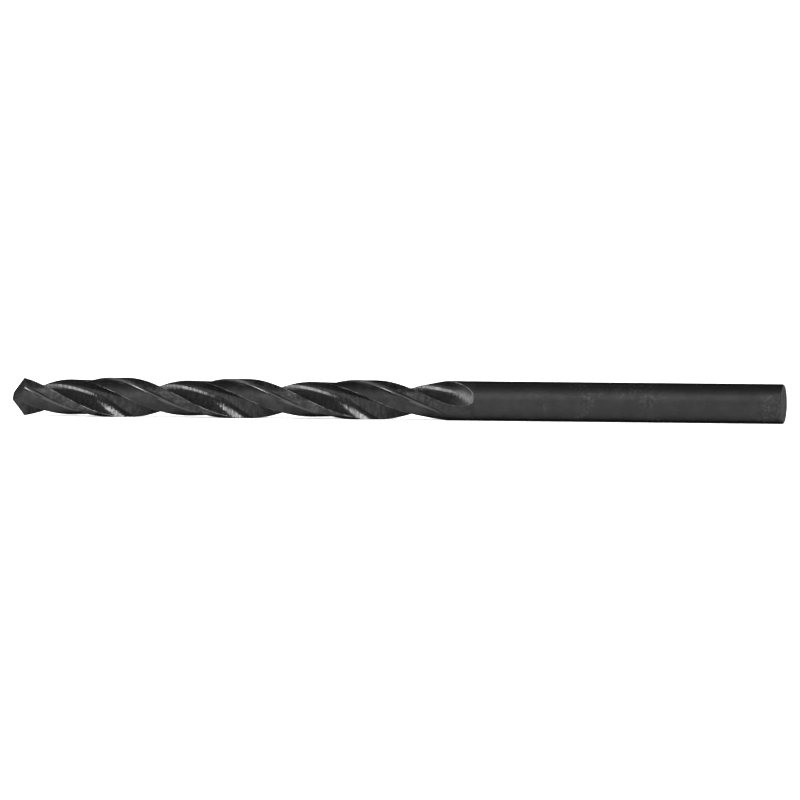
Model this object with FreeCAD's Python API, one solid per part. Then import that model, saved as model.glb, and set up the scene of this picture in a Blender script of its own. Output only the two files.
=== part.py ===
import FreeCAD, Part
import math
import os

# Straight-shank twist drill bit of standard jobber length, in one piece.
# The bit lies along X with its point towards -X. The origin is the centre of the shank's end face.
# Lengths are in millimetres and angles in degrees.
# A place along the bit is its distance from the point, called station.
# An angle round the bit is 0 at +Z and grows towards -Y. In a section it is counted from the
# leading edge of the land, and grows across the land towards its heel.

# Blank
drill_diameter = 3.80
back_taper = 0.04
overall_length = 75.0
shank_chamfer = 0.08

# Helix
lead_length_at_point = 22.2
lead_length_at_run_out = 26.6
roll_at_point = -3.5

# Flutes
flute_length = 45.6
web_at_point = 0.70
web_at_run_out = 1.06
flute_wheel_radius = 6.0
run_out_lean = 6.0

# Lands
land_width = 2.98
margin_width = 0.93
clearance_depth = 0.28
heel_depth = 0.18
step_fillet = 0.37
clearance_end_gap = 2.7
clearance_wheel_radius = 12.0

# Point
point_angle = 110.0
point_skew = 3.3
chisel_relief = 18.0
flank_cone_angle = 52.0
flank_cone_reach = 7.2

# Working allowances of the cutters
overcut = 0.6
turn_per_section = 22.0
run_out_spacing = 0.5

radius = drill_diameter / 2.0
shank_radius = radius - back_taper / 2.0
clearance_length = flute_length - clearance_end_gap
flute_count = 2
pitch_angle = 360.0 / flute_count


def body_radius(station):
    """Outer radius of the fluted body, which tapers back to the shank at the end of the flutes."""
    share = min(max(station / flute_length, 0.0), 1.0)
    return radius + share * (shank_radius - radius)


def web_radius(station):
    """Half the web left between the two flutes. It grows towards the shank."""
    share = station / flute_length
    return (web_at_point + share * (web_at_run_out - web_at_point)) / 2.0


def helix_angle_at(station):
    """Angle of the leading edge. The twist slackens evenly from the point to the run-out."""
    first_rate = 360.0 / lead_length_at_point
    last_rate = 360.0 / lead_length_at_run_out
    slackening = (last_rate - first_rate) / flute_length
    return roll_at_point + (first_rate + slackening * station / 2.0) * station


def turned(along, across, degrees):
    """A flat vector turned by an angle."""
    angle = math.radians(degrees)
    return (
        along * math.cos(angle) - across * math.sin(angle),
        along * math.sin(angle) + across * math.cos(angle),
    )


def section_point(station, spot, lift=(0.0, 0.0)):
    """A spot of the section at a station, moved by the cutter's lift and turned with the helix."""
    up, out = turned(spot[0] + lift[0], spot[1] + lift[1], helix_angle_at(station))
    return FreeCAD.Vector(station - overall_length, -out, up)


def round_spot(distance, degrees):
    """A spot of the section given by its distance from the axis and its angle."""
    return turned(distance, 0.0, degrees)


def lip_face_spots(web, count=6):
    """Spots along the flute's cutting face, from outside the rim to where it touches the web.

    The cutting lip of the finished point is to be straight. Its face is therefore the lip's line,
    half a web off the axis, with each spot turned back by the twist between it and the corner.
    """
    corner_reach = math.sqrt(radius ** 2 - web ** 2)
    lip_bearing = math.degrees(math.asin(web / radius))
    twist = 360.0 / lead_length_at_point / math.tan(math.radians(point_angle / 2.0))
    spots = []
    for step in range(count):
        reach = (radius + overcut) * (1.0 - step / (count - 1))
        spots.append(turned(reach, -web, lip_bearing + twist * (corner_reach - reach)))
    return spots, lip_bearing + twist * corner_reach


def heel_wall_spots(start, bearing, heel, count=5):
    """Spots along the arc that leaves the web in line with the cutting face and cuts the heel.

    The arc runs on a little past the heel, so that the clearance surface crosses it there.
    """
    outward = turned(0.0, -1.0, bearing)
    chord = (heel[0] - start[0], heel[1] - start[1])
    square = chord[0] ** 2 + chord[1] ** 2
    arc_radius = square / (2.0 * (chord[0] * outward[0] + chord[1] * outward[1]))
    centre = (start[0] + arc_radius * outward[0], start[1] + arc_radius * outward[1])
    past_heel = math.degrees(overcut / 3.0 / arc_radius)
    reach = turned(heel[0] - centre[0], heel[1] - centre[1], past_heel)
    return arc_spots(centre, start, (centre[0] + reach[0], centre[1] + reach[1]), count)


def arc_spots(centre, start, end, count):
    """Spots along the shorter arc about a centre. The distance changes evenly between its ends."""
    first = math.atan2(start[1] - centre[1], start[0] - centre[0])
    last = math.atan2(end[1] - centre[1], end[0] - centre[0])
    sweep = math.remainder(last - first, 2.0 * math.pi)
    first_distance = math.hypot(start[0] - centre[0], start[1] - centre[1])
    last_distance = math.hypot(end[0] - centre[0], end[1] - centre[1])
    spots = []
    for step in range(count):
        share = step / (count - 1)
        distance = first_distance + share * (last_distance - first_distance)
        bearing = first + share * sweep
        across = distance * math.sin(bearing)
        spots.append((centre[0] + distance * math.cos(bearing), centre[1] + across))
    return spots


def smooth_edge(points):
    """An edge through points. Evenly numbered knots let the same edge of all sections match."""
    numbers = [step / (len(points) - 1) for step in range(len(points))]
    curve = Part.BSplineCurve()
    curve.interpolate(Points=points, Parameters=numbers)
    return curve.toShape()


def straight_edge(start, end):
    """A straight edge between two points."""
    return Part.LineSegment(start, end).toShape()


def land_angle(width):
    """The angle that a width round the rim takes up."""
    return math.degrees(width / radius)


def swing_out(depth, wheel_radius):
    """Length over which a wheel leaves a groove of this depth."""
    depth = min(depth, wheel_radius)
    return math.sqrt(2.0 * wheel_radius * depth - depth ** 2)


def wheel_lift(station, end_station, depth, wheel_radius):
    """How far a grinding wheel has left a groove of this depth that ends at a station."""
    travelled = station - end_station + swing_out(depth, wheel_radius)
    travelled = min(max(travelled, 0.0), wheel_radius)
    return wheel_radius - math.sqrt(wheel_radius ** 2 - travelled ** 2)


def flute_section(station):
    """Section of one flute: cutting face, heel wall and a closing arc outside the rim."""
    heel_bearing = land_angle(land_width) - pitch_angle
    face, web_bearing = lip_face_spots(web_radius(station))
    heel = round_spot(body_radius(station) - heel_depth, heel_bearing)
    wall = heel_wall_spots(face[-1], web_bearing, heel)
    wall_bearing = math.degrees(math.atan2(wall[-1][1], wall[-1][0]))
    outside = round_spot(radius + overcut, wall_bearing)
    closing = arc_spots((0.0, 0.0), outside, face[0], 5)
    depth = radius - web_radius(station)
    lift = wheel_lift(station, flute_length, depth, flute_wheel_radius)
    shift = round_spot(lift, web_bearing - 90.0 - run_out_lean)

    def place(spots):
        return [section_point(station, spot, shift) for spot in spots]

    edges = [
        smooth_edge(place(face)),
        smooth_edge(place(wall)),
        straight_edge(*place([wall[-1], outside])),
        smooth_edge(place(closing)),
    ]
    return Part.Wire(edges)


def clearance_section(station):
    """Section of the relief behind a margin: filleted step, clearance arc and a closing arc."""
    rim = body_radius(station)
    lift = wheel_lift(station, clearance_length, clearance_depth, clearance_wheel_radius)
    step_drop = step_fillet - clearance_depth
    step_reach = math.sqrt(step_fillet ** 2 - step_drop ** 2)
    foot_angle = land_angle(margin_width + step_reach)
    end_angle = land_angle(land_width + overcut)
    outer_radius = radius + 2.0 * overcut

    foot = round_spot(rim - clearance_depth + lift, foot_angle)
    centre = round_spot(rim - clearance_depth + lift + step_fillet, foot_angle)
    toward_margin = round_spot(step_fillet, foot_angle - 90.0)
    top = (centre[0] + toward_margin[0], centre[1] + toward_margin[1])
    end = round_spot(rim - heel_depth + lift, end_angle)
    end_outside = round_spot(outer_radius, end_angle)
    top_outside = round_spot(outer_radius, math.degrees(math.atan2(top[1], top[0])))

    def place(spots):
        return [section_point(station, spot) for spot in spots]

    edges = [
        smooth_edge(place(arc_spots(centre, top, foot, 5))),
        smooth_edge(place(arc_spots((0.0, 0.0), foot, end, 5))),
        straight_edge(*place([end, end_outside])),
        smooth_edge(place(arc_spots((0.0, 0.0), end_outside, top_outside, 5))),
        straight_edge(*place([top_outside, top])),
    ]
    return Part.Wire(edges)


def stations_along(last_station, run_out_start):
    """Stations of a cutter's sections, evenly turned, and closer together where it lifts out."""
    first_station = -overcut
    full_turn = helix_angle_at(run_out_start) - helix_angle_at(first_station)
    count = max(int(math.ceil(full_turn / turn_per_section)), 2)
    spacing = (run_out_start - first_station) / count
    stations = [first_station + spacing * step for step in range(count)]
    ending = last_station - run_out_start
    steps = max(int(math.ceil(ending / run_out_spacing)), 3)
    stations += [run_out_start + ending * step / steps for step in range(steps + 1)]
    return stations


def around(shape, copy):
    """The shape turned to its place round the bit's axis."""
    turned_shape = shape.copy()
    turned_shape.rotate(FreeCAD.Vector(0, 0, 0), FreeCAD.Vector(1, 0, 0), pitch_angle * copy)
    return turned_shape


def flute_cutter():
    """The volume that the flute wheel removes, lofted through sections along the helix."""
    depth = radius - web_radius(flute_length)
    start = flute_length - swing_out(depth, flute_wheel_radius)
    last = start + swing_out(depth + overcut / 2.0, flute_wheel_radius)
    sections = [flute_section(station) for station in stations_along(last, start)]
    return Part.makeLoft(sections, True, False)


def clearance_cutter():
    """The volume removed behind one margin, so that only the margin rubs in the hole."""
    start = clearance_length - swing_out(clearance_depth, clearance_wheel_radius)
    last = start + swing_out(clearance_depth + overcut / 4.0, clearance_wheel_radius)
    sections = [clearance_section(station) for station in stations_along(last, start)]
    return Part.makeLoft(sections, True, False)


def point_cutter(lip_lean):
    """The volume ground off one flank of the point.

    The flank is part of a cone. The cone's line through the chisel edge leans like the lip, and
    its surface falls away behind the lip by the relief.
    """
    half_point = math.radians(lip_lean)
    relief = math.radians(chisel_relief)
    half_cone = math.radians(flank_cone_angle / 2.0)
    bearing = roll_at_point + math.degrees(math.asin(web_at_point / drill_diameter))
    bearing += 360.0 / lead_length_at_point * radius / math.tan(half_point)
    up, out = turned(1.0, 0.0, bearing)
    lip_side = FreeCAD.Vector(0, -out, up)
    behind_up, behind_out = turned(0.0, 1.0, bearing)
    behind = FreeCAD.Vector(0, -behind_out, behind_up)
    along = FreeCAD.Vector(1, 0, 0)

    generator = along * math.cos(half_point) + lip_side * math.sin(half_point)
    square_to_lip = lip_side * math.cos(half_point) - along * math.sin(half_point)
    normal = square_to_lip * math.cos(relief) + behind * math.sin(relief)
    axis = generator * math.cos(half_cone) - normal * math.sin(half_cone)
    tip = FreeCAD.Vector(-overall_length, 0, 0)
    apex = tip - generator * flank_cone_reach
    height = 4.0 * flank_cone_reach
    cone = Part.makeCone(0.0, height * math.tan(half_cone), height, apex, axis)
    zone_length = overcut + radius / math.tan(half_point) + land_width
    zone = Part.makeCylinder(drill_diameter, zone_length, tip - along * overcut, along)
    return zone.cut(cone)


def blank():
    """The turned blank: tapered body, plain shank and a small chamfer at the shank's end."""
    along = FreeCAD.Vector(1, 0, 0)
    tip = FreeCAD.Vector(-overall_length, 0, 0)
    shank_start = tip + along * flute_length
    chamfer_start = along * -shank_chamfer
    shank_length = overall_length - flute_length - shank_chamfer
    end_radius = shank_radius - shank_chamfer
    body = Part.makeCone(radius, shank_radius, flute_length, tip, along)
    shank = Part.makeCylinder(shank_radius, shank_length, shank_start, along)
    chamfer = Part.makeCone(shank_radius, end_radius, shank_chamfer, chamfer_start, along)
    return body.fuse([shank, chamfer])


def twist_drill():
    """The finished bit: the blank with its flutes, clearances and point ground away."""
    flute = flute_cutter()
    clearance = clearance_cutter()
    cutters = []
    for copy in range(flute_count):
        lip_lean = point_angle / 2.0 - point_skew * math.cos(math.radians(pitch_angle * copy))
        cutters += [around(cutter, copy) for cutter in (flute, clearance, point_cutter(lip_lean))]
    return blank().cut(cutters)


os.makedirs("parts", exist_ok=True)
drill = twist_drill()
drill.exportStep("parts/twist_drill.step")
print("twist_drill", len(drill.Solids), "solid", drill.isValid(), round(drill.Volume, 2))
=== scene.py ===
"""Straight-shank twist drill bit in black oxide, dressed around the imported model."""

import math
from collections import namedtuple

import bpy
import numpy as np
from bpy.props import FloatProperty, FloatVectorProperty, PointerProperty
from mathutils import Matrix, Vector


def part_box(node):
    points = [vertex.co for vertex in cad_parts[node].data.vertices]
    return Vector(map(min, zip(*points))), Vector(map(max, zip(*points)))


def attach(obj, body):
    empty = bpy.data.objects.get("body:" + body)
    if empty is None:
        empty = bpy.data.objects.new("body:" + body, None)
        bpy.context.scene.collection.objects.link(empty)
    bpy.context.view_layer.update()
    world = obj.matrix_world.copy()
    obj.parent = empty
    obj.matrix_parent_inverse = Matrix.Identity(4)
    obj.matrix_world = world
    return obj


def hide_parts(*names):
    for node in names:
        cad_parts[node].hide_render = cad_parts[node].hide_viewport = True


bl_info = {
    "name": "Twist drill bit",
    "version": (1, 0, 0),
    "blender": (4, 5, 0),
    "location": "3D View > Sidebar > Drill bit",
    "description": "Builds a black oxide twist drill bit and the studio it is shown in",
    "category": "Add Mesh",
}

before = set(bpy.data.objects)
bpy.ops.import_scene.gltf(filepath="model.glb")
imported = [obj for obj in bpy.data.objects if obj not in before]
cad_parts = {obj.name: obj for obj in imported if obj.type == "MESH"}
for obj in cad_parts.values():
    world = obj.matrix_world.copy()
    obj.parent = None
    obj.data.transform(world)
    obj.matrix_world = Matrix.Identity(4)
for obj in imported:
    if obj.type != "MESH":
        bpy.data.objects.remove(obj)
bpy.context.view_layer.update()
DRILL_NODE = "twist_drill"

# The regions of the bit's surface, in the order of its material slots.
LAND, FLUTE, SHANK, POINT, SHANK_END = range(5)

# The materials measure in millimetres, and take this gap where no edge is near.
MM = 1000.0
FAR_FROM_EDGES = 9.0

# Spots on the parts of a half section, in their order round the bit.
MARGIN_SPOTS, CORNER_SPOTS, STEP_SPOTS, CLEARANCE_SPOTS = 16, 4, 9, 22
WALL_SPOTS, FACE_SPOTS = 22, 20
OUTER_SPOTS = MARGIN_SPOTS + CORNER_SPOTS + STEP_SPOTS + CLEARANCE_SPOTS
FLUTE_SPOTS = CORNER_SPOTS + WALL_SPOTS + FACE_SPOTS + CORNER_SPOTS
HALF_SPOTS = OUTER_SPOTS + FLUTE_SPOTS
COLUMNS = 2 * HALF_SPOTS

# Spots on each side of a flute's line before it is cut to length.
LINE_SPOTS = 500

# The share of a flute's line that the rounding of one of its edges may take.
ROUNDING_SHARE = 0.25

# The least angle between the step's edge and its foot, and how the step's spots crowd.
SMALLEST_STEP = math.radians(4.0)
STEP_CROWDING = 0.5

# Rows of the point zone and of the flanks, and how rows crowd towards the point and the run-outs.
POINT_ROWS, CAP_ROWS = 26, 12
POINT_CROWDING, TIP_CROWDING = 1.25, 1.8

# Halvings of a search, and in metres how far the searches and the probe beside the chisel reach.
HALVINGS = 45
AHEAD_OF_POINT, BESIDE_CHISEL, CHISEL_PROBE, BESIDE_TIP = 0.0005, 0.0004, 0.0003, 0.001

# Gaps between the rows of the shank in metres, and how fast they grow.
FIRST_GAP, WIDEST_GAP, GAP_GROWTH = 0.00006, 0.0012, 1.25

# How much of the chamfer its softened corners take, and the places of the rows at both corners,
# as steps along the bit and away from its axis. The rings of the end face are shares of its radius.
CHAMFER_SOFTNESS = 0.22
OUTER_CORNER = ((-4.0, 0.0), (-1.0, 0.0), (-0.2, -0.2), (0.8, -1.0))
INNER_CORNER = ((-0.9, 1.0), (-0.2, 0.2), (0.0, -0.8), (0.0, -4.0))
END_FACE_RINGS = (0.85, 0.7, 0.55, 0.4, 0.27, 0.15, 0.06, 0.02)

# Faces that meet at more than this angle keep a sharp edge.
SHARP_ANGLE = math.radians(38.0)


class DrillSizes(bpy.types.PropertyGroup):
    """Sizes of the bit."""

    overall_length: FloatProperty(
        name="Overall length", description="From the chisel edge to the shank's end",
        default=0.075, unit="LENGTH", precision=5)
    drill_diameter: FloatProperty(
        name="Drill diameter", description="Across the margins at the point",
        default=0.0038, unit="LENGTH", precision=5)
    shank_diameter: FloatProperty(
        name="Shank diameter", description="Diameter of the plain shank",
        default=0.00376, unit="LENGTH", precision=5)
    shank_chamfer: FloatProperty(
        name="Shank chamfer", description="Chamfer round the shank's end face",
        default=0.00008, unit="LENGTH", precision=6)
    lead_at_point: FloatProperty(
        name="Lead at the point", description="Length of one turn of the flutes at the point",
        default=0.0222, unit="LENGTH", precision=5)
    lead_at_run_out: FloatProperty(
        name="Lead at the run-out", description="Length of one turn where the flutes end",
        default=0.0266, unit="LENGTH", precision=5)
    roll_at_point: FloatProperty(
        name="Roll", description="Angle of the first leading edge at the point",
        default=math.radians(-3.5), subtype="ANGLE")
    flute_length: FloatProperty(
        name="Flute length", description="From the point to the end of the flutes",
        default=0.0456, unit="LENGTH", precision=5)
    web_at_point: FloatProperty(
        name="Web at the point", description="Thickness of the core at the point",
        default=0.0007, unit="LENGTH", precision=5)
    web_at_run_out: FloatProperty(
        name="Web at the run-out", description="Thickness of the core where the flutes end",
        default=0.00106, unit="LENGTH", precision=5)
    flute_wheel: FloatProperty(
        name="Flute wheel", description="Radius in which the flutes rise to the surface",
        default=0.006, unit="LENGTH", precision=5)
    run_out_lean: FloatProperty(
        name="Run-out lean", description="How far the flute wheel leans as it lifts out",
        default=math.radians(6.0), subtype="ANGLE")
    land_width: FloatProperty(
        name="Land width", description="Round the rim from leading edge to heel",
        default=0.00298, unit="LENGTH", precision=5)
    margin_width: FloatProperty(
        name="Margin width", description="Round the rim from leading edge to step",
        default=0.00093, unit="LENGTH", precision=5)
    clearance_depth: FloatProperty(
        name="Clearance depth", description="Depth of the step behind the margin",
        default=0.00028, unit="LENGTH", precision=6)
    heel_depth: FloatProperty(
        name="Heel depth", description="Depth of the heel below the rim",
        default=0.00018, unit="LENGTH", precision=6)
    step_fillet: FloatProperty(
        name="Step fillet", description="Radius of the step behind the margin",
        default=0.00037, unit="LENGTH", precision=6)
    clearance_end_gap: FloatProperty(
        name="Clearance end gap", description="From the clearance's end to the flute's end",
        default=0.0027, unit="LENGTH", precision=5)
    clearance_wheel: FloatProperty(
        name="Clearance wheel", description="Radius in which the clearance rises",
        default=0.012, unit="LENGTH", precision=5)
    overcut: FloatProperty(
        name="Overcut", description="How far the cutters reach past the rim",
        default=0.0006, unit="LENGTH", precision=5)
    point_angle: FloatProperty(
        name="Point angle", description="Angle between the two cutting lips",
        default=math.radians(110.0), subtype="ANGLE")
    point_skew: FloatProperty(
        name="Point skew", description="How unevenly the two lips are ground",
        default=math.radians(3.3), subtype="ANGLE")
    chisel_relief: FloatProperty(
        name="Relief", description="How steeply a flank falls away behind its lip",
        default=math.radians(18.0), subtype="ANGLE")
    flank_cone_angle: FloatProperty(
        name="Flank cone angle", description="Full angle of the cone a flank is part of",
        default=math.radians(52.0), subtype="ANGLE")
    flank_cone_reach: FloatProperty(
        name="Flank cone reach", description="From the cone's tip to the chisel edge",
        default=0.0072, unit="LENGTH", precision=5)
    lip_edge: FloatProperty(
        name="Leading edge rounding", description="Width of the rounding on the leading edge",
        default=0.000014, unit="LENGTH", precision=6)
    step_edge: FloatProperty(
        name="Step edge rounding", description="Width of the rounding behind the margin",
        default=0.000014, unit="LENGTH", precision=6)
    heel_edge: FloatProperty(
        name="Heel rounding", description="Width of the rounding on the heel",
        default=0.00003, unit="LENGTH", precision=6)
    row_spacing: FloatProperty(
        name="Row spacing", description="Distance between the rows of faces on the flutes",
        default=0.00016, unit="LENGTH", precision=6)
    fine_row_spacing: FloatProperty(
        name="Fine row spacing", description="Distance between the rows at the clearance's end",
        default=0.00006, unit="LENGTH", precision=6)
    point_zone: FloatProperty(
        name="Point zone", description="Length over which the rows lean to follow the flanks",
        default=0.0030, unit="LENGTH", precision=5)


class BlackOxide(bpy.types.PropertyGroup):
    """Colours and gloss of the black oxide finish."""

    tone: FloatVectorProperty(
        name="Tone", description="Colour of the oxide where it is whole",
        default=(0.028, 0.028, 0.0278), size=3, subtype="COLOR", min=0.0, max=1.0)
    # The worn tone is also the colour of the painted highlight in the step's fillet.
    worn_tone: FloatVectorProperty(
        name="Worn tone", description="Colour of the steel where the oxide has rubbed off",
        default=(0.18, 0.18, 0.178), size=3, subtype="COLOR", min=0.0, max=1.0)
    shank_roughness: FloatProperty(
        name="Shank roughness", description="Roughness of the plain shank",
        default=0.42, min=0.0, max=1.0, subtype="FACTOR")
    land_roughness: FloatProperty(
        name="Land roughness", description="Roughness of the lands",
        default=0.48, min=0.0, max=1.0, subtype="FACTOR")
    flute_roughness: FloatProperty(
        name="Flute roughness", description="Roughness of the ground flutes",
        default=0.20, min=0.0, max=1.0, subtype="FACTOR")


class StudioLook(bpy.types.PropertyGroup):
    """Camera and light of the studio."""

    camera_azimuth: FloatProperty(
        name="Camera azimuth", description="Angle of the camera round the bit",
        default=math.radians(12.55), subtype="ANGLE")
    camera_elevation: FloatProperty(
        name="Camera elevation", description="Angle of the camera above the floor",
        default=math.radians(2.63), subtype="ANGLE")
    camera_distance: FloatProperty(
        name="Camera distance", description="From the camera to the bit's middle",
        default=0.8, unit="LENGTH")
    lens: FloatProperty(
        name="Lens", description="Focal length in millimetres",
        default=379.15, min=1.0)
    aim_right: FloatProperty(
        name="Aim to the right", description="How far the camera stands to its own right",
        default=0.00053, unit="LENGTH", precision=5)
    left_strength: FloatProperty(
        name="Left light", description="Radiance of the tall soft light on the point's side",
        default=24.0, min=0.0)
    far_left_strength: FloatProperty(
        name="Far left light", description="Radiance of the tall soft light beyond the point",
        default=10.0, min=0.0)
    right_strength: FloatProperty(
        name="Right light", description="Radiance of the soft light above, on the shank's side",
        default=27.0, min=0.0)
    front_strength: FloatProperty(
        name="Front light", description="Radiance of the weak soft light in front",
        default=0.6, min=0.0)
    back_strength: FloatProperty(
        name="Back light", description="Radiance of the weak soft light behind the bit",
        default=1.9, min=0.0)
    room: FloatProperty(
        name="Room", description="Brightness of the room around the studio",
        default=0.12, min=0.0)
    floor_colour: FloatVectorProperty(
        name="Floor", description="Colour of the floor and backdrop",
        default=(0.86, 0.86, 0.86), size=3, subtype="COLOR", min=0.0, max=1.0)
    floor_glow: FloatProperty(
        name="Floor glow", description="What the camera sees of the floor besides its own light",
        default=0.45, min=0.0, max=1.0)


def turned(spots, angle):
    """Flat spots turned by an angle, which may differ from spot to spot."""
    along, across = spots[..., 0], spots[..., 1]
    cos, sin = np.cos(angle), np.sin(angle)
    return np.stack([along * cos - across * sin, along * sin + across * cos], axis=-1)


def round_spots(distance, angle):
    """Spots given by their distance from the axis and their angle."""
    return np.stack([distance * np.cos(angle), distance * np.sin(angle)], axis=-1)


def mixed(first, last, share):
    """What lies at a share of the way from first to last."""
    return first + share * (last - first)


def rim_radius(sizes, station):
    """Outer radius at a station. The fluted body tapers back to the shank."""
    share = min(max(station / sizes.flute_length, 0.0), 1.0)
    return mixed(sizes.drill_diameter, sizes.shank_diameter, share) / 2.0


def web_radius(sizes, station):
    """Half the web between the flutes."""
    return mixed(sizes.web_at_point, sizes.web_at_run_out, station / sizes.flute_length) / 2.0


def clearance_end(sizes):
    """Station at which the clearance behind the margins has run out."""
    return sizes.flute_length - sizes.clearance_end_gap


def helix_angle(sizes, station):
    """Angle of the leading edge, also for an array of stations."""
    first_rate = math.tau / sizes.lead_at_point
    last_rate = math.tau / sizes.lead_at_run_out
    slackening = (last_rate - first_rate) / sizes.flute_length
    return sizes.roll_at_point + (first_rate + slackening * station / 2.0) * station


def swing_out(depth, wheel_radius):
    """Length over which a wheel leaves a groove of this depth."""
    return math.sqrt(2.0 * wheel_radius * depth - depth ** 2)


def wheel_lift(station, end_station, depth, wheel_radius):
    """How far a wheel has left a groove of this depth that ends at a station."""
    travelled = station - end_station + swing_out(min(depth, wheel_radius), wheel_radius)
    travelled = min(max(travelled, 0.0), wheel_radius)
    return wheel_radius - math.sqrt(wheel_radius ** 2 - travelled ** 2)


class Clearance:
    """The outer profile of one land at a station, as a radius for each angle."""

    def __init__(self, sizes, station):
        radius = sizes.drill_diameter / 2.0
        drop = sizes.step_fillet - sizes.clearance_depth
        reach = math.sqrt(sizes.step_fillet ** 2 - drop ** 2)
        self.lift = wheel_lift(
            station, clearance_end(sizes), sizes.clearance_depth, sizes.clearance_wheel)
        self.rim = rim_radius(sizes, station)
        self.fillet = sizes.step_fillet
        self.floor = self.rim - sizes.clearance_depth + self.lift
        self.rise = sizes.clearance_depth - sizes.heel_depth
        self.foot = (sizes.margin_width + reach) / radius
        self.end = (sizes.land_width + sizes.overcut) / radius
        self.top = self.foot - self.fillet_span()

    def fillet_span(self):
        """Angle between the foot of the step and its edge on the rim."""
        centre = self.floor + self.fillet
        cosine = (self.rim ** 2 + centre ** 2 - self.fillet ** 2) / (2.0 * self.rim * centre)
        return math.acos(min(cosine, 1.0))

    def radius_at(self, angle):
        """Outer radius at these angles."""
        centre = self.floor + self.fillet
        sideways = centre * np.sin(self.foot - angle)
        inside = np.clip(self.fillet ** 2 - sideways ** 2, 0.0, None)
        on_fillet = centre * np.cos(self.foot - angle) - np.sqrt(inside)
        share = (angle - self.foot) / (self.end - self.foot)
        on_floor = self.floor + share * self.rise
        found = np.where(angle < self.foot, on_fillet, on_floor)
        reached = (angle > self.top) & (angle < self.end)
        return np.where(reached, np.minimum(found, self.rim), self.rim)


def flute_line(sizes, station):
    """The flute behind the first land, as spots from its heel wall to its cutting face.

    Also returns the number of the spot nearest to the axis.
    """
    radius = sizes.drill_diameter / 2.0
    web = web_radius(sizes, station)
    corner_reach = math.sqrt(radius ** 2 - web ** 2)
    lip_bearing = math.asin(web / radius)
    twist = math.tau / sizes.lead_at_point / math.tan(sizes.point_angle / 2.0)
    reach = np.linspace(0.0, radius + sizes.overcut, LINE_SPOTS)
    across = np.full_like(reach, -web)
    face = turned(np.stack([reach, across], axis=-1), lip_bearing + twist * (corner_reach - reach))
    opening = lip_bearing + twist * corner_reach - math.pi / 2.0

    heel_angle = sizes.land_width / radius - math.pi
    heel = round_spots(rim_radius(sizes, station) - sizes.heel_depth, heel_angle)
    outward = round_spots(1.0, opening)
    chord = heel - face[0]
    arc_radius = chord @ chord / (2.0 * (chord @ outward))
    centre = face[0] + arc_radius * outward
    first = math.atan2(*(face[0] - centre)[::-1])
    wall_overcut = sizes.overcut / 3.0
    last = math.atan2(*(heel - centre)[::-1]) + wall_overcut / arc_radius
    bearings = first + np.linspace(1.0, 0.0, LINE_SPOTS) * math.remainder(last - first, math.tau)
    wall = centre + round_spots(arc_radius, bearings)

    lift = wheel_lift(station, sizes.flute_length, radius - web, sizes.flute_wheel)
    shift = round_spots(lift, opening - sizes.run_out_lean)
    line = -(np.concatenate([wall, face[1:]]) + shift)
    return line, int(np.argmin(np.hypot(line[:, 0], line[:, 1])))


def crossing(spots, profile):
    """How far along spots, counted in spots, they first come out of the outer profile."""
    angle = np.arctan2(spots[:, 1], spots[:, 0]) % math.tau
    outside = np.hypot(spots[:, 0], spots[:, 1]) - profile.radius_at(angle)
    found = int(np.argmax(outside >= 0.0))
    if found == 0:
        raise RuntimeError("a flute does not reach the rim")
    before, after = outside[found - 1], outside[found]
    return found - 1 + before / (before - after)


def lengths_along(spots):
    """Distance of each spot from the first, along the line through them."""
    steps = np.hypot(*np.diff(spots, axis=0).T)
    return np.concatenate([[0.0], np.cumsum(steps)])


def spots_at(spots, distances, wanted):
    """Spots at wanted distances along a line of spots."""
    return np.stack([np.interp(wanted, distances, spots[:, k]) for k in (0, 1)], axis=-1)


def graded(count, crowding=0.8):
    """Shares from 0 to 1 that crowd towards both ends."""
    share = np.linspace(0.0, 1.0, count)
    return share - crowding * np.sin(math.tau * share) / math.tau


def rounded(before, corner, after):
    """Spots of a small rounding that starts and ends at two spots beside a corner."""
    share = (np.arange(CORNER_SPOTS) + 1.0)[:, None] / (CORNER_SPOTS + 1.0)
    return before * (1 - share) ** 2 + 2.0 * corner * share * (1 - share) + after * share ** 2


def side_of_flute(spots, profile):
    """Distances along one side of a flute, its length inside the profile, and where it ends."""
    lengths = lengths_along(spots)
    length = np.interp(crossing(spots, profile), np.arange(len(spots)), lengths)
    return lengths, length, spots_at(spots, lengths, length)


def outer_line(sizes, station, profile, lead_angle, heel_angle):
    """Spots and angles on the outside of a land, between two angles.

    Behind the end of the clearance the angles ease into even ones.
    """
    step_cut = sizes.step_edge / profile.rim
    edge = min(profile.top, profile.foot - SMALLEST_STEP)
    margin = mixed(lead_angle, edge - step_cut, graded(MARGIN_SPOTS))
    step = mixed(edge + step_cut, profile.foot, graded(STEP_SPOTS, STEP_CROWDING))
    corner = np.linspace(margin[-1], step[0], CORNER_SPOTS + 2)[1:-1]
    clearance = mixed(profile.foot, heel_angle, graded(CLEARANCE_SPOTS + 1))[1:]
    angles = np.concatenate([margin, corner, step, clearance])
    ease = (station - clearance_end(sizes)) / sizes.clearance_end_gap
    ease = min(max(ease, 0.0), 1.0)
    angles = mixed(angles, np.linspace(angles[0], angles[-1], OUTER_SPOTS), ease)
    spots = round_spots(profile.radius_at(angles), angles)
    if ease == 0.0:
        before, after = MARGIN_SPOTS - 1, MARGIN_SPOTS + CORNER_SPOTS
        at_edge = round_spots(profile.radius_at(edge), edge)
        spots[before + 1:after] = rounded(spots[before], at_edge, spots[after])
    return spots, angles


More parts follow.
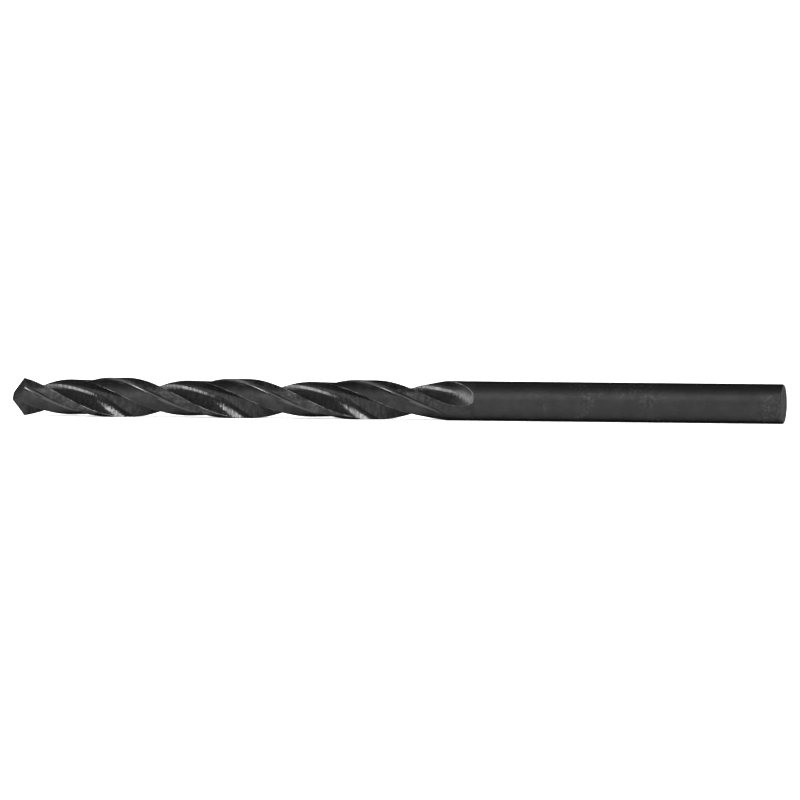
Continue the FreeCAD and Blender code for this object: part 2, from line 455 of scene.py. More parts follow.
def edge_gaps(spots, angles, profile):
    """Distances along a half section, and its gaps to the leading edge, the heel and the foot."""
    distances = lengths_along(np.concatenate([spots, -spots[:1]]))
    whole = distances[-1]
    at_heel = distances[OUTER_SPOTS + CORNER_SPOTS // 2]
    to_lead = np.minimum(distances, whole - distances)
    to_heel = np.minimum(np.abs(distances - at_heel), np.abs(distances + whole - at_heel))
    to_foot = np.full_like(distances, FAR_FROM_EDGES / MM)
    to_foot[:OUTER_SPOTS] = np.abs(angles - profile.foot) * profile.rim
    return distances, np.stack([to_lead, to_heel, to_foot + profile.lift], axis=-1)


def half_section(sizes, station):
    """One land and the flute behind it: spots, distances along them, and gaps to the edges."""
    profile = Clearance(sizes, station)
    line, deepest = flute_line(sizes, station)
    wall, face = line[deepest::-1], line[deepest:]
    wall_lengths, wall_length, heel = side_of_flute(wall, profile)
    face_lengths, face_length, lead = side_of_flute(face, profile)
    room = (wall_length + face_length) * ROUNDING_SHARE
    heel_cut, lead_cut = min(sizes.heel_edge, room), min(sizes.lip_edge, room)
    heel_angle = math.atan2(heel[1], heel[0]) % math.tau - heel_cut / profile.rim
    lead_angle = math.atan2(lead[1], lead[0]) % math.tau - math.pi + lead_cut / profile.rim
    outer, angles = outer_line(sizes, station, profile, lead_angle, heel_angle)

    wall_spots = spots_at(wall, wall_lengths, (wall_length - heel_cut) * (1.0 - graded(WALL_SPOTS)))
    face_spots = spots_at(face, face_lengths, (face_length - lead_cut) * graded(FACE_SPOTS + 1)[1:])
    heel_spots = rounded(outer[-1], heel, wall_spots[0])
    lead_spots = rounded(face_spots[-1], lead, -outer[0])
    spots = np.concatenate([outer, heel_spots, wall_spots, face_spots, lead_spots])
    return spots, *edge_gaps(spots, angles, profile)


def whole_section(sizes, station):
    """Both halves of a section: spots, and for each the flow and gap values of its corner."""
    spots, distances, gaps = half_section(sizes, station)
    both = np.concatenate([spots, -spots])
    flow = np.concatenate([distances[:-1], distances + distances[-1]])
    all_gaps = np.concatenate([gaps[:-1], gaps])
    return both, flow, all_gaps


def laid(sizes, stations, spots):
    """Points of the bit from stations and spots that are turned already."""
    x = np.broadcast_to(stations - sizes.overall_length, spots.shape[:-1])
    return np.stack([x, -spots[..., 1], spots[..., 0]], axis=-1)


def placed(sizes, stations, spots):
    """Points of the bit from stations and the spots of their sections."""
    return laid(sizes, stations, turned(spots, helix_angle(sizes, stations)))


def narrowed(low, high, past):
    """The span from low to high, narrowed to the place where a test becomes true."""
    for _ in range(HALVINGS):
        middle = (low + high) / 2.0
        found = past(middle)
        low, high = np.where(found, low, middle), np.where(found, middle, high)
    return low, high


class Flank:
    """The cone that one flank of the point is part of."""

    def __init__(self, sizes, copy):
        lean = sizes.point_angle / 2.0 - sizes.point_skew * math.cos(math.pi * copy)
        radius = sizes.drill_diameter / 2.0
        bearing = sizes.roll_at_point + math.asin(sizes.web_at_point / sizes.drill_diameter)
        bearing += math.tau / sizes.lead_at_point * radius / math.tan(lean)
        half_cone = sizes.flank_cone_angle / 2.0
        relief = sizes.chisel_relief
        lip_side = Vector((0.0, -math.sin(bearing), math.cos(bearing)))
        behind = Vector((0.0, -math.cos(bearing), -math.sin(bearing)))
        along = Vector((1.0, 0.0, 0.0))
        generator = along * math.cos(lean) + lip_side * math.sin(lean)
        square = lip_side * math.cos(lean) - along * math.sin(lean)
        normal = square * math.cos(relief) + behind * math.sin(relief)
        self.axis = generator * math.cos(half_cone) - normal * math.sin(half_cone)
        self.apex = -generator * sizes.flank_cone_reach
        self.square_cosine = math.cos(half_cone) ** 2
        self.side = 1.0 if copy == 0 else -1.0

    def station_at(self, points):
        """Station at which lines along the bit through these points come out of the metal."""
        y = points[..., 1] * self.side - self.apex.y
        z = points[..., 2] * self.side - self.apex.z
        sideways = y * self.axis.y + z * self.axis.z
        a = self.axis.x ** 2 - self.square_cosine
        b = self.axis.x * sideways
        c = sideways ** 2 - self.square_cosine * (y ** 2 + z ** 2)
        root = np.sqrt(np.clip(b * b - a * c, 0.0, None))
        return (root - b) / a + self.apex.x


class PointZone:
    """Rows of points from the flanks back to the first whole section, and the flanks' own rows.

    The flanks' rows run from the chisel edge out to the rim. The ends are the two places in a
    row where the chisel edge meets the rim, and half is the number of places between them.
    """

    def __init__(self, sizes):
        self.sizes = sizes
        self.flanks = Flank(sizes, 0), Flank(sizes, 1)
        self.near, self.far = whole_section(sizes, 0.0), whole_section(sizes, sizes.point_zone)
        self.rows, self.stations = self.ground_rows()
        self.ends = [self.chisel_end(side) for side in (0, 1)]
        self.half = (self.ends[1] - self.ends[0]) % COLUMNS
        self.stations[0] = self.rows[0, :, 0] + sizes.overall_length
        self.cap = self.cap_rows()

    def at(self, stations):
        """Points at these stations, on sections between the nearest and the farthest."""
        share = (stations / self.sizes.point_zone)[..., None]
        return placed(self.sizes, stations, mixed(self.near[0], self.far[0], share))

    def ground(self, points):
        """Stations at which the flanks cut lines along the bit through these points."""
        return np.maximum(*(flank.station_at(points) for flank in self.flanks))

    def lead_of_first(self, points):
        """How much further back the first flank cuts these lines than the second."""
        return np.subtract(*(flank.station_at(points) for flank in self.flanks))

    def ground_rows(self):
        """Rows of points from the rim of the flanks back, and their stations."""
        last = self.sizes.point_zone
        low, high = narrowed(
            np.full(COLUMNS, -AHEAD_OF_POINT), np.full(COLUMNS, last),
            lambda stations: stations > self.ground(self.at(stations)))
        start = (low + high) / 2.0
        share = np.linspace(0.0, 1.0, POINT_ROWS) ** POINT_CROWDING
        stations = mixed(start, last, share[:, None])
        rows = self.at(stations)
        rows[0, :, 0] = start - self.sizes.overall_length
        return rows, stations

    def chisel_end(self, side):
        """Moves one point of the rim to where both flanks are equally high, and gives its place."""
        rim = self.rows[0]
        flute = np.arange(OUTER_SPOTS, HALF_SPOTS) + side * HALF_SPOTS
        leads = self.lead_of_first(rim)[flute]
        change = int(np.argmax(np.sign(leads[:-1]) != np.sign(leads[1:])))
        share = leads[change] / (leads[change] - leads[change + 1])
        place = flute[change] + int(round(share))
        rim[place] = mixed(rim[flute[change]], rim[flute[change + 1]], share)
        rim[place, 0] = self.ground(rim[place]) - self.sizes.overall_length
        return place

    def cap_rows(self):
        """Rows of points on the flanks, from the chisel edge out to the rim.

        The chisel edge runs where both flanks are equally high.
        """
        rim = self.rows[0]
        shares = np.concatenate([
            np.linspace(0.0, 1.0, self.half, endpoint=False),
            np.linspace(1.0, 0.0, COLUMNS - self.half, endpoint=False)])
        start, finish = rim[self.ends]
        across = np.array([0.0, -(finish - start)[2], (finish - start)[1]])
        across /= np.linalg.norm(across)
        chisel = mixed(start, finish, shares[:, None])
        sign = np.sign(self.lead_of_first(chisel[self.half // 2] + CHISEL_PROBE * across))
        low, high = narrowed(
            np.full(COLUMNS, -BESIDE_CHISEL), np.full(COLUMNS, BESIDE_CHISEL),
            lambda aside: self.lead_of_first(chisel + aside[:, None] * across) * sign > 0.0)
        inner = np.empty_like(chisel)
        order = np.roll(np.arange(COLUMNS), -self.ends[0])
        inner[order] = chisel + ((low + high) / 2.0)[:, None] * across
        cap = mixed(inner, rim, (np.arange(CAP_ROWS) / (CAP_ROWS - 1.0))[:, None, None])
        cap[:-1, :, 0] = self.ground(cap[:-1]) - self.sizes.overall_length
        return cap


class Shell:
    """Points and faces of the bit, with values for the corners of each face."""

    def __init__(self):
        self.points, self.faces, self.values, self.regions = [], [], [], []
        self.count = 0

    def add_points(self, points):
        """Adds points and returns their numbers in the same arrangement."""
        flat = np.asarray(points).reshape(-1, 3)
        numbers = np.arange(len(flat)) + self.count
        self.points.append(flat)
        self.count += len(flat)
        return numbers.reshape(np.asarray(points).shape[:-1])

    def add_grid(self, numbers, values, regions):
        """Adds the faces of a grid of points, in one region or one for each column of faces."""
        rows, columns = numbers.shape
        corners = ((0, 0), (0, 1), (1, 1), (1, 0))
        quads = np.stack([numbers[r:rows - 1 + r, c:columns - 1 + c] for r, c in corners], axis=-1)
        inner = np.stack([values[r:rows - 1 + r, c:columns - 1 + c] for r, c in corners], axis=2)
        face_regions = np.broadcast_to(np.asarray(regions), (rows - 1, columns - 1))
        inner = inner.reshape(-1, 4, values.shape[-1])
        for quad, value, region in zip(quads.reshape(-1, 4), inner, face_regions.reshape(-1)):
            kept = [k for k in range(4) if quad[k] != quad[k - 1]]
            if len(kept) > 2 and len(set(quad[kept])) == len(kept):
                self.faces.append([int(quad[k]) for k in kept])
                self.values.append(value[kept])
                self.regions.append(region)

    def mesh(self, name):
        """The finished mesh with its corner attributes and smooth shading."""
        mesh = bpy.data.meshes.new(name)
        mesh.from_pydata(np.concatenate(self.points).tolist(), [], self.faces)
        values = np.concatenate(self.values).astype(np.float32)
        for key, first in (("flow", 0), ("gaps", 3)):
            attribute = mesh.attributes.new(key, "FLOAT_VECTOR", "CORNER")
            attribute.data.foreach_set("vector", values[:, first:first + 3].ravel())
        mesh.polygons.foreach_set("material_index", np.array(self.regions, dtype=np.int32))
        mesh.polygons.foreach_set("use_smooth", np.ones(len(self.faces), dtype=bool))
        mesh.validate()
        mesh.set_sharp_from_angle(angle=SHARP_ANGLE)
        return mesh


def closed(array):
    """The array with its first column repeated at the end."""
    return np.concatenate([array, array[:, :1]], axis=1)


def run_out_stations(sizes, tip_station):
    """Stations from the end of the point zone to just before the tips of the flutes' run-outs."""
    first, end = sizes.point_zone, clearance_end(sizes)
    start = end - swing_out(sizes.clearance_depth, sizes.clearance_wheel)
    count = int(math.ceil((start - first) / sizes.row_spacing))
    even = np.linspace(first, start, count + 1)
    count = int(math.ceil((end - start) / sizes.fine_row_spacing))
    fine = np.linspace(start, end, count + 1)[1:]
    count = int((tip_station - end) / sizes.fine_row_spacing)
    share = np.linspace(0.0, 1.0, count + 1)[1:-1]
    closing = tip_station - (tip_station - end) * (1.0 - share) ** TIP_CROWDING
    return np.concatenate([even, fine, closing])


def flute_tip(sizes):
    """Station and angle at which the lifted flute behind the first land leaves the rim."""
    def deepest_spot(station):
        line, deepest = flute_line(sizes, station)
        return line[deepest]

    def past_rim(station):
        return math.hypot(*deepest_spot(station)) >= rim_radius(sizes, station)

    low, _ = narrowed(sizes.flute_length - BESIDE_TIP, sizes.flute_length + BESIDE_TIP, past_rim)
    along, across = deepest_spot(float(low))
    return float(low), math.atan2(across, along) % math.tau


def land_angles(opening):
    """Angles of the first land in the last row, from one run-out's tip to the other's."""
    return np.linspace(opening - math.pi, opening, OUTER_SPOTS)


def add_body(shell, zone, tip, opening):
    """Adds the fluted body and returns the numbers of its points.

    In the last row each flute is one point, in which its run-out ends.
    """
    sizes = zone.sizes
    row_stations = closed(zone.stations[:-1])
    share = row_stations / sizes.point_zone
    flows = list(mixed(zone.near[1], zone.far[1], share))
    gaps = list(mixed(zone.near[2], zone.far[2], share[..., None]))
    rows = list(zone.rows[:-1])
    stations = run_out_stations(sizes, tip)
    for station in stations:
        spots, flow, gap = whole_section(sizes, station)
        rows.append(placed(sizes, np.full(COLUMNS, station), spots))
        flows.append(flow)
        gaps.append(gap)
    angles = np.concatenate([land_angles(opening), np.full(FLUTE_SPOTS, opening)])
    half_row = round_spots(rim_radius(sizes, tip), angles)
    rows.append(placed(sizes, np.full(COLUMNS, tip), np.concatenate([half_row, -half_row])))
    flows.append(flows[-1])
    gaps.append(gaps[-1])

    numbers = shell.add_points(np.array(rows))
    for side in (0, 1):
        start = side * HALF_SPOTS + OUTER_SPOTS
        flute = np.arange(start, start + FLUTE_SPOTS + 1) % COLUMNS
        numbers[-1, flute] = numbers[-1, start - 1]
    stations = np.repeat(np.append(stations, tip)[:, None], COLUMNS + 1, axis=1)
    stations = np.concatenate([row_stations, stations]) * MM
    from_rim = stations - stations[:1]
    from_rim[POINT_ROWS:] = stations[POINT_ROWS:] - stations[:1].min()
    flow_values = np.stack([stations, np.array(flows) * MM, from_rim], axis=-1)
    values = np.concatenate([flow_values, np.array(gaps) * MM], axis=-1)
    regions = np.tile(np.r_[np.full(OUTER_SPOTS - 1, LAND), np.full(FLUTE_SPOTS + 1, FLUTE)], 2)
    shell.add_grid(closed(numbers), values, regions)
    return numbers


def add_flanks(shell, zone, rim):
    """Adds both flanks of the point inside the rim, whose points have these numbers."""
    order = np.roll(np.arange(COLUMNS), -zone.ends[0])
    first_side, second_side = order[:zone.half + 1], np.append(order[zone.half:], order[0])
    if len(first_side) != len(second_side):
        raise RuntimeError("the chisel edge does not split the rim in two equal halves")
    numbers = shell.add_points(zone.cap[:-1])
    numbers[0, second_side[::-1]] = numbers[0, first_side]
    numbers[:, zone.ends] = rim[zone.ends]
    numbers = closed(np.concatenate([numbers, rim[None]]))
    points = closed(zone.cap)
    values = np.full(numbers.shape + (6,), FAR_FROM_EDGES)
    values[..., 0:3] = (points + [zone.sizes.overall_length, 0.0, 0.0]) * MM
    values[..., 3] = np.linalg.norm(points - points[-1:], axis=-1) * MM
    values[..., 4] = np.linalg.norm(points - points[:1], axis=-1) * MM
    shell.add_grid(numbers, values, POINT)


def shank_outline(sizes, tip):
    """Stations and radii of the shank's rows, and the number of the first row on its end face."""
    end, radius, chamfer = sizes.overall_length, sizes.shank_diameter / 2.0, sizes.shank_chamfer
    stations, station, gap = [], tip + FIRST_GAP, FIRST_GAP
    while station < end - chamfer - 2.0 * WIDEST_GAP:
        stations.append(station)
        gap = min(gap * GAP_GROWTH, WIDEST_GAP)
        station += gap
    count = int(math.ceil((end - chamfer - stations[-1]) / WIDEST_GAP))
    stations.extend(np.linspace(stations[-1], end - chamfer, count + 1)[1:-1])
    outline = [(station, rim_radius(sizes, station)) for station in stations]
    soft = chamfer * CHAMFER_SOFTNESS
    outline += [(end - chamfer + along * soft, radius + out * soft) for along, out in OUTER_CORNER]
    outline += [(end + along * soft, radius - chamfer + out * soft) for along, out in INNER_CORNER]
    # The last two rows of the inner corner lie on the end face.
    end_row = len(outline) - 2
    outline += [(end, (radius - chamfer) * share) for share in END_FACE_RINGS]
    return np.array(outline), end_row


def add_shank(shell, sizes, last_row, tip, opening):
    """Adds the plain shank, its chamfer and its end face behind the last row of the body."""
    end, radius = sizes.overall_length, sizes.shank_diameter / 2.0
    outline, end_row = shank_outline(sizes, tip)
    angles = land_angles(opening)[:-1]
    angles = np.concatenate([angles, angles + math.pi]) + helix_angle(sizes, tip)
    rings = round_spots(outline[:, 1:], angles[None])
    rings = shell.add_points(laid(sizes, outline[:, :1], rings))
    centre = shell.add_points(np.zeros((1, 3)))
    land = np.arange(OUTER_SPOTS - 1)
    joined = last_row[np.concatenate([land, HALF_SPOTS + land])]
    numbers = closed(np.concatenate([joined[None], rings, np.full((1, len(joined)), centre)]))
    rows = np.concatenate([[(tip, rim_radius(sizes, tip))], outline, [(end, 0.0)]])
    to_end = (end - rows[:, :1]) * MM
    values = np.full(numbers.shape + (6,), FAR_FROM_EDGES)
    values[..., 0] = rows[:, :1] * MM
    values[..., 1] = np.append(angles, angles[0] + math.tau) * radius * MM
    values[..., 2] = to_end
    values[..., 3] = np.abs(rows[:, 1:] - (radius - sizes.shank_chamfer)) * MM + to_end
    shell.add_grid(numbers[:end_row + 1], values[:end_row + 1], SHANK)
    shell.add_grid(numbers[end_row:], values[end_row:], SHANK_END)


def drill_shell(sizes):
    """The whole bit as a shell of points and faces."""
    shell, zone = Shell(), PointZone(sizes)
    tip, opening = flute_tip(sizes)
    numbers = add_body(shell, zone, tip, opening)
    add_flanks(shell, zone, numbers[0])
    add_shank(shell, sizes, numbers[-1], tip, opening)
    return shell


# Steps between nodes in the editor, and the number of nodes below each other.
NODE_ACROSS, NODE_DOWN, NODE_ROWS = 180, 220, 3

# Marks are noise on the flow, with its stretch, detail, roughness and height in metres.
Marks = namedtuple("Marks", "stretch detail roughness height")
ROUND_MARKS = Marks((9.0, 0.35, 0.0), 4.0, 0.55, 0.000005)
FINE_MARKS = Marks((40.0, 1.4, 0.0), 2.0, 0.55, 0.000004)

# Patches are noise with its scale, detail and roughness, on which a ramp rises from low to high.
Patches = namedtuple("Patches", "scale detail roughness low high top")
CLOUDS = Patches(420.0, 4.0, 0.55, 0.3, 0.7, 1.0)
BROKEN = Patches(900.0, 3.0, 0.55, 0.40, 0.66, 1.0)
MARGIN_MOTTLE = Patches(2600.0, 3.0, 0.7, 0.42, 0.66, 0.12)
SHANK_PATCH = Patches(190.0, 2.0, 0.55, 0.48, 0.60, 1.0)
SHANK_MOTTLE = Patches(3200.0, 3.0, 0.7, 0.45, 0.68, 0.08)
STROKES = Patches(1.0, 2.0, 0.7, 0.42, 0.60, 1.0)
STROKE_STRETCH = (4.6, 1.0, 0.0)

# The finish of a region: its name, the setting of its roughness, its brightness with the darkest
# and the lightest share of it, how metallic it is, its sheen and wear, and its marks.
Finish = namedtuple("Finish", "name roughness shade dark light metal sheen wear ridges grain")
FINISHES = (
    Finish("land", "land_roughness", 0.60, 0.9, 1.1, 0.92, 0.2, 0.04, ROUND_MARKS, FINE_MARKS),
    Finish(
        "flute", "flute_roughness", 0.74, 0.8, 1.3, 0.72, 0.2, 0.2,
        Marks((4.2, 0.6, 0.0), 2.0, 0.8, 0.000032), Marks((14.0, 2.2, 0.0), 2.0, 0.55, 0.000005)),
    Finish(
        "shank", "shank_roughness", 0.68, 0.96, 1.04, 0.92, 0.2, 0.015,
        Marks((4.6, 2.6, 0.0), 3.0, 0.75, 0.000022), FINE_MARKS),
    Finish(
        "point", "land_roughness", 0.60, 0.9, 1.1, 0.92, 0.2, 0.05,
        Marks((1.5, 9.0, 1.5), 3.0, 0.55, 0.000008), Marks((3.0, 40.0, 3.0), 2.0, 0.55, 0.000004)),
    # The shank end's shade of 5.2 makes its oxide several times lighter than the shank's: painted
    # light on the end face, standing in for a lamp that hardly reaches it.
    Finish("shank end painted light", "shank_roughness", 5.2, 0.9, 1.1, 0.92, 0.0, 0.04, ROUND_MARKS, FINE_MARKS),
)

# Small changes of roughness from speck to speck.
SPECK_SCALE, SPECK_DETAIL, SPECK_RANGE = 5200.0, 2.0, 0.06

# Strokes in the flutes are glossier than the rest, and the run-outs are duller. The dullness
# starts this far behind the clearance's end, with a soft start, in millimetres.
STROKE_GLOSS, RUN_OUT_DULLNESS = 0.12, 0.22
RUN_OUT_GAP, RUN_OUT_SOFTNESS = 1.6, 1.4

# The margins' soft edge and the length in which they fade in millimetres, and their gloss.
MARGIN_SOFTNESS, MARGIN_FADE, MARGIN_GLOSS = 0.05, 2.0, 0.14

# The step's fillet: its reach and soft edge in millimetres, how far its colour is lightened as a
# painted highlight line, and its roughness.
FILLET_REACH, FILLET_SOFTNESS, FILLET_PAINTED_HIGHLIGHT, FILLET_ROUGHNESS = 0.20, 0.06, 0.14, 0.17

# How far the wear of the leading edge and of the heel reaches, in millimetres.
LEAD_WEAR, HEEL_WEAR = 0.04, 0.05


class Nodes:
    """Adds nodes to a material and joins them."""

    def __init__(self, name):
        self.material = bpy.data.materials.new(name)
        self.material.use_nodes = True
        self.tree = self.material.node_tree
        self.tree.nodes.clear()
        self.column = 0

    def add(self, kind, inputs=None, **settings):
        """A new node. Inputs are plain values or other nodes' sockets."""
        node = self.tree.nodes.new(kind)
        self.column += 1
        node.location = (self.column * NODE_ACROSS, -(self.column % NODE_ROWS) * NODE_DOWN)
        for key, value in settings.items():
            setattr(node, key, value)
        for key, value in (inputs or {}).items():
            socket = node.inputs[key]
            if isinstance(value, bpy.types.NodeSocket):
                self.tree.links.new(value, socket)
            else:
                socket.default_value = value
        return node

    def math(self, operation, first, second=0.0, clamp=False):
        """A Math node's result."""
        inputs = {0: first, 1: second}
        return self.add("ShaderNodeMath", inputs, operation=operation, use_clamp=clamp).outputs[0]

    def plus(self, first, second, clamp=False):
        """The sum of two values."""
        return self.math("ADD", first, second, clamp)

    def minus(self, first, second, clamp=False):
        """The first value less the second."""
        return self.math("SUBTRACT", first, second, clamp)

    def times(self, first, second, clamp=False):
        """The product of two values."""
        return self.math("MULTIPLY", first, second, clamp)

    def noise(self, vector, scale, detail, roughness=0.55):
        """Noise on a vector, in 0 to 1."""
        inputs = {"Vector": vector, "Scale": scale, "Detail": detail, "Roughness": roughness}
        return self.add("ShaderNodeTexNoise", inputs).outputs["Fac"]

    def stretched(self, vector, scale):
        """A vector with each axis scaled on its own."""
        return self.add("ShaderNodeMapping", {"Vector": vector, "Scale": scale}).outputs["Vector"]

    def marks(self, flow, kind):
        """Marks of a kind along the flow."""
        return self.noise(self.stretched(flow, kind.stretch), 1.0, kind.detail, kind.roughness)

    def patches(self, vector, kind):
        """Patches of a kind, from 0 outside them to their top inside."""
        noise = self.noise(vector, kind.scale, kind.detail, kind.roughness)
        node = self.add("ShaderNodeValToRGB", {"Fac": noise})
        node.color_ramp.interpolation = "EASE"
        stops = (kind.low, 0.0), (kind.high, kind.top)
        for element, (position, level) in zip(node.color_ramp.elements, stops):
            element.position = position
            element.color = (level, level, level, 1.0)
        return node.outputs["Color"]

    def attribute(self, name):
        """The vector attribute, and its three parts."""
        node = self.add("ShaderNodeAttribute", attribute_name=name)
        parts = self.add("ShaderNodeSeparateXYZ", {0: node.outputs["Vector"]})
        return node.outputs["Vector"], parts.outputs

    def near_edge(self, gap, reach):
        """1 at an edge, falling to 0 at a distance in millimetres."""
        return self.minus(1.0, self.math("DIVIDE", gap, reach), clamp=True)

    def within(self, gap, limit, softness):
        """1 where a gap is under a limit, 0 beyond it, with a soft change in millimetres."""
        return self.times(self.minus(limit, gap), 1.0 / softness, clamp=True)

    def between(self, factor, first, second):
        """A colour that goes from first to second with the factor."""
        inputs = {0: factor, 6: first, 7: second}
        return self.add("ShaderNodeMix", inputs, data_type="RGBA").outputs[2]


def rgba(colour, gain=1.0):
    """A colour property as four numbers."""
    return tuple(channel * gain for channel in colour) + (1.0,)


def black_oxide(region, sizes, look):
    """Black oxide steel for one region of the bit."""
    finish = FINISHES[region]
    roughness = getattr(look, finish.roughness)
    margin_end = clearance_end(sizes) * MM
    nodes = Nodes(finish.name + " black oxide")
    flow, (station, _, _) = nodes.attribute("flow")
    _, (to_lead, to_heel, to_foot) = nodes.attribute("gaps")
    place = nodes.add("ShaderNodeTexCoord").outputs["Object"]
    ridges, grain = nodes.marks(flow, finish.ridges), nodes.marks(flow, finish.grain)
    broken = nodes.patches(place, BROKEN)
    speck = nodes.noise(place, SPECK_SCALE, SPECK_DETAIL)
    rough = nodes.plus(roughness - SPECK_RANGE / 2.0, nodes.times(speck, SPECK_RANGE), clamp=True)

    if region == FLUTE:
        cover = nodes.patches(nodes.stretched(flow, STROKE_STRETCH), STROKES)
        uncut = nodes.within(station, margin_end + RUN_OUT_GAP, RUN_OUT_SOFTNESS)
        run_out = nodes.minus(1.0, uncut)
        rough = nodes.minus(rough, nodes.times(cover, STROKE_GLOSS))
        rough = nodes.plus(rough, nodes.times(run_out, RUN_OUT_DULLNESS))
        wear_and_painted_highlight = nodes.times(run_out, nodes.times(grain, finish.wear))
    else:
        cover = nodes.patches(place, CLOUDS)
        wear_and_painted_highlight = nodes.times(broken, finish.wear)
    if region == LAND:
        margin = nodes.times(
            nodes.within(to_lead, sizes.margin_width * MM, MARGIN_SOFTNESS),
            nodes.within(station, margin_end, MARGIN_FADE))
        fillet = nodes.times(
            nodes.within(to_foot, FILLET_REACH, FILLET_SOFTNESS), nodes.minus(1.0, margin))
        mottled = nodes.patches(place, MARGIN_MOTTLE)
        wear_and_painted_highlight = nodes.plus(wear_and_painted_highlight, nodes.times(margin, mottled), clamp=True)
        # The fillet's colour is lightened towards the worn tone: a painted highlight along the foot
        # of the step, not wear.
        wear_and_painted_highlight = nodes.plus(wear_and_painted_highlight, nodes.times(fillet, FILLET_PAINTED_HIGHLIGHT), clamp=True)
        rough = nodes.minus(rough, nodes.times(margin, MARGIN_GLOSS))
        rough = nodes.minus(rough, nodes.times(fillet, roughness - FILLET_ROUGHNESS), clamp=True)
    if region == SHANK:
        mottled = nodes.times(nodes.patches(place, SHANK_PATCH), nodes.patches(place, SHANK_MOTTLE))
        wear_and_painted_highlight = nodes.plus(wear_and_painted_highlight, mottled, clamp=True)
    if region in (LAND, FLUTE):
        edge = nodes.math(
            "MAXIMUM", nodes.near_edge(to_lead, LEAD_WEAR), nodes.near_edge(to_heel, HEEL_WEAR))
        wear_and_painted_highlight = nodes.plus(wear_and_painted_highlight, nodes.times(edge, broken), clamp=True)

    # On the shank end the shade is painted light that brightens the end face.
    dark, light = (rgba(look.tone, share * finish.shade) for share in (finish.dark, finish.light))
    # Real wear and the fillet's painted highlight both mix in the worn tone.
    colour = nodes.between(wear_and_painted_highlight, nodes.between(cover, dark, light), rgba(look.worn_tone))
    bump = nodes.add("ShaderNodeBump", {
        "Strength": 1.0, "Distance": finish.ridges.height, "Height": ridges})
    fine = nodes.add("ShaderNodeBump", {
        "Strength": 1.0, "Distance": finish.grain.height, "Height": grain,
        "Normal": bump.outputs["Normal"]})
    shader = nodes.add("ShaderNodeBsdfPrincipled", {
        "Base Color": colour, "Roughness": rough, "Normal": fine.outputs["Normal"],
        "Metallic": finish.metal, "IOR": 1.0, "Specular Tint": (finish.sheen,) * 3 + (1.0,)})
    nodes.add("ShaderNodeOutputMaterial", {"Surface": shader.outputs["BSDF"]})
    return nodes.material


class BIT_OT_twist_drill(bpy.types.Operator):
    """Builds the drill bit with its flutes, margins, point and shank"""

    bl_idname = "drill_bit.twist_drill"
    bl_label = "Twist drill"

    def execute(self, context):
        sizes, look = context.scene.drill_sizes, context.scene.black_oxide
        mesh = drill_shell(sizes).mesh("drill_bit")
        piece = bpy.data.objects.new("drill_bit", mesh)
        context.scene.collection.objects.link(piece)
        for region in range(len(FINISHES)):
            mesh.materials.append(black_oxide(region, sizes, look))
        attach(piece, "root")
        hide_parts(DRILL_NODE)
        return {"FINISHED"}


# The lights: name, degrees round from the camera, degrees up, distance, width and height in
# metres. Each one's strength is the studio's setting with its name.
LIGHTS = (
    ("left", -57.0, 23.0, 0.7, 0.32, 0.34),
    ("far left", -96.0, 22.0, 0.7, 0.29, 0.54),
    ("right", 24.0, 39.0, 0.9, 0.48, 0.42),
    ("front", -27.0, 15.0, 0.9, 0.38, 0.58),
    ("back", 175.0, 55.0, 0.9, 0.9, 0.4),
)

# The floor and the upright backdrop at its back edge, in metres.
FLOOR_SIDE, FLOOR_FRONT, FLOOR_BACK, BACKDROP_HEIGHT = 1.5, -1.5, 1.2, 0.4

# The paper's glow grows to its full strength from this distance to the bit, at this rate.
GLOW_START, GLOW_RATE = 0.1, 3.0
PAPER_SCALE, PAPER_DETAIL, PAPER_SPREAD, PAPER_ROUGHNESS = 60.0, 4.0, 0.01, 0.9


def aimed(name, data, place, target):
    """A light or camera placed in the scene and turned towards a point."""
    thing = bpy.data.objects.new(name, data)
    thing.location = place
    thing.rotation_mode = "QUATERNION"
    thing.rotation_quaternion = (Vector(target) - Vector(place)).to_track_quat("-Z", "Y")
    bpy.context.scene.collection.objects.link(thing)
    return thing


def direction(azimuth, elevation):
    """Unit vector from the bit, with azimuth 0 towards -Y and 90 towards +X."""
    level = math.cos(elevation)
    return Vector((math.sin(azimuth) * level, -math.cos(azimuth) * level, math.sin(elevation)))


def soft_light(name, radiance, azimuth, elevation, distance, width, height, target):
    """A rectangular soft light of a given radiance, seen from the target in a given direction."""
    light = bpy.data.lights.new(name, "AREA")
    light.shape = "RECTANGLE"
    light.size, light.size_y = width, height
    light.energy = radiance * math.pi * width * height
    place = Vector(target) + distance * direction(math.radians(azimuth), math.radians(elevation))
    return aimed(name, light, place, target)


